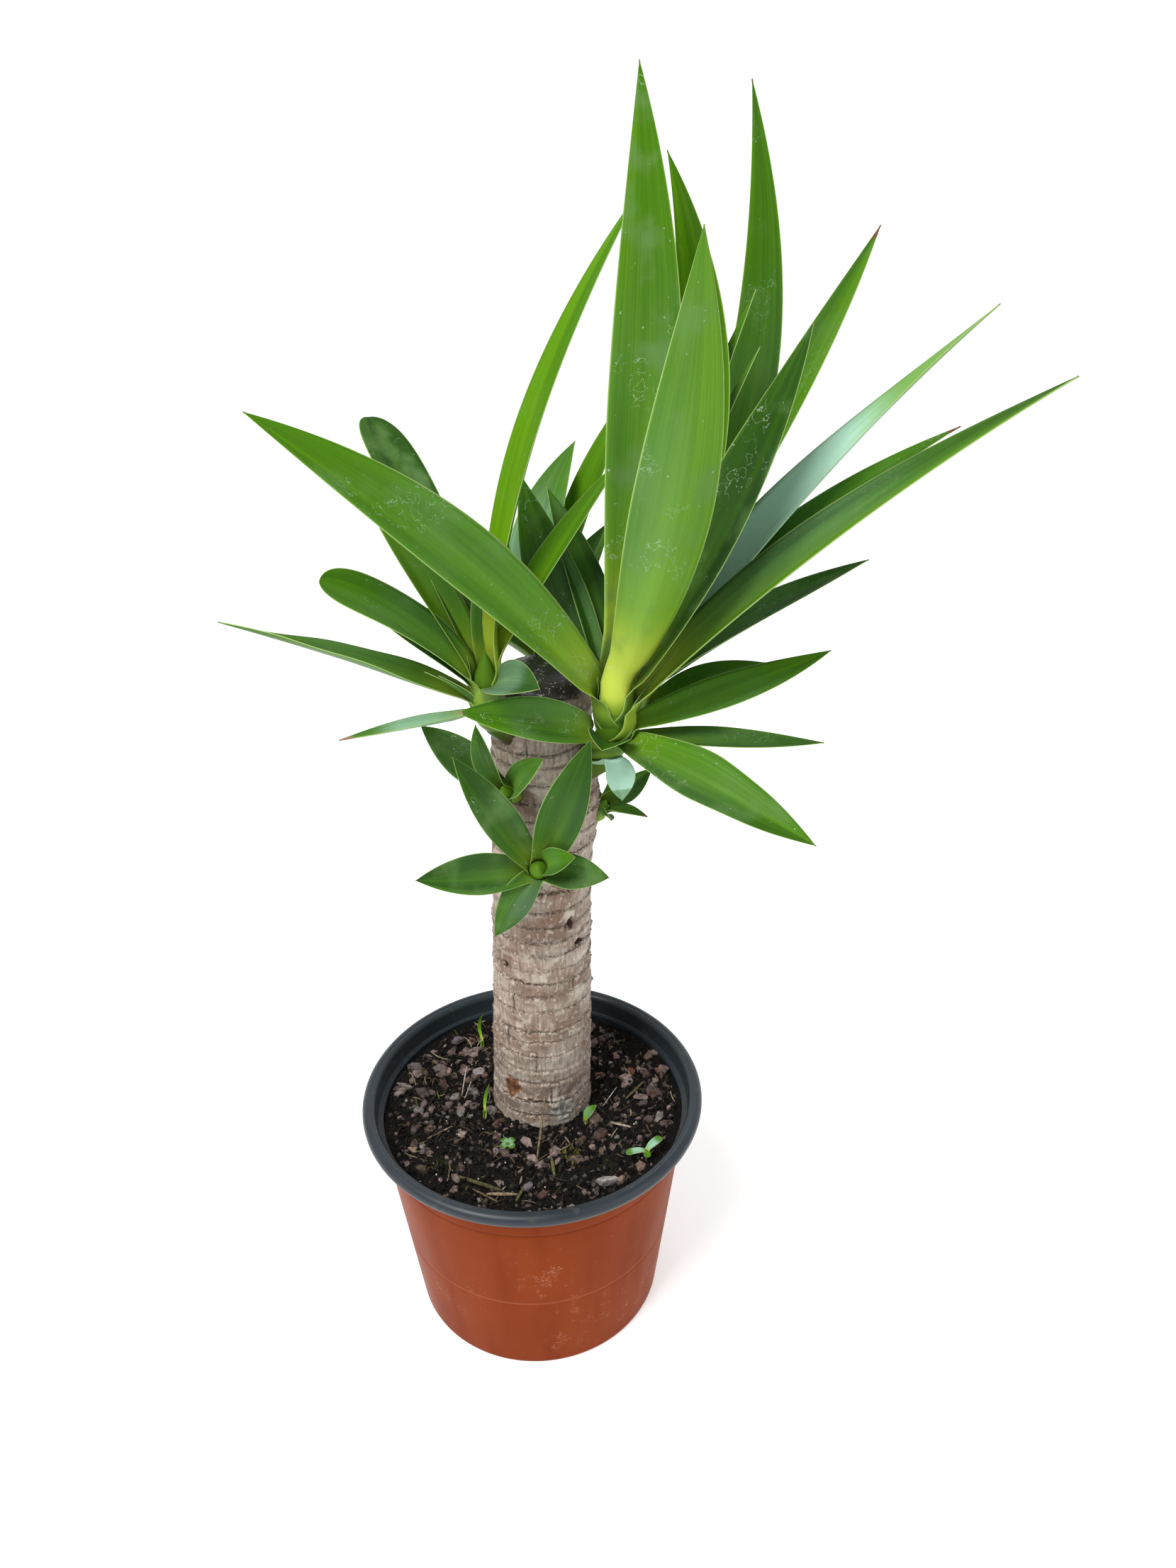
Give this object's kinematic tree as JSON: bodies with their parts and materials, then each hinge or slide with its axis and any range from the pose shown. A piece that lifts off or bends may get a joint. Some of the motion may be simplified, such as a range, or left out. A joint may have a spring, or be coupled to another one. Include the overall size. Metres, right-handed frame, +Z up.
{
  "type": "potted yucca",
  "caption": "Potted yucca: a sawn upright cane with sword-shaped leaf rosettes near its wax-sealed top, standing in compost in a round tapered nursery pot.",
  "frame": {"origin": "centre of the pot's flat underside", "axes": "+Z up along the cane, +X to the side that the largest leaf head grows towards, +Y towards the back of the plant"},
  "size_m": [0.318, 0.2011, 0.5666],
  "materials": {
    "pot_plastic": "terracotta-coloured plastic, slightly glossy and scuffed",
    "compost": "dark fibrous compost with bark chips",
    "cane_bark": "dry grey-brown bark with ring scars",
    "wax": "dark sealing wax with a soft sheen",
    "leaf_green": "green leaves with a waxy sheen"
  },
  "bodies": {
    "root": {"pot": "pot_plastic", "soil": "compost", "trunk": "cane_bark", "wax_seal": "wax", "head_right": "leaf_green", "head_left": "leaf_green", "head_back_right": "leaf_green", "head_back": "leaf_green", "rosette_front": "leaf_green", "sprout_left": "leaf_green", "sprout_right": "leaf_green"}
  },
  "joints": []
}
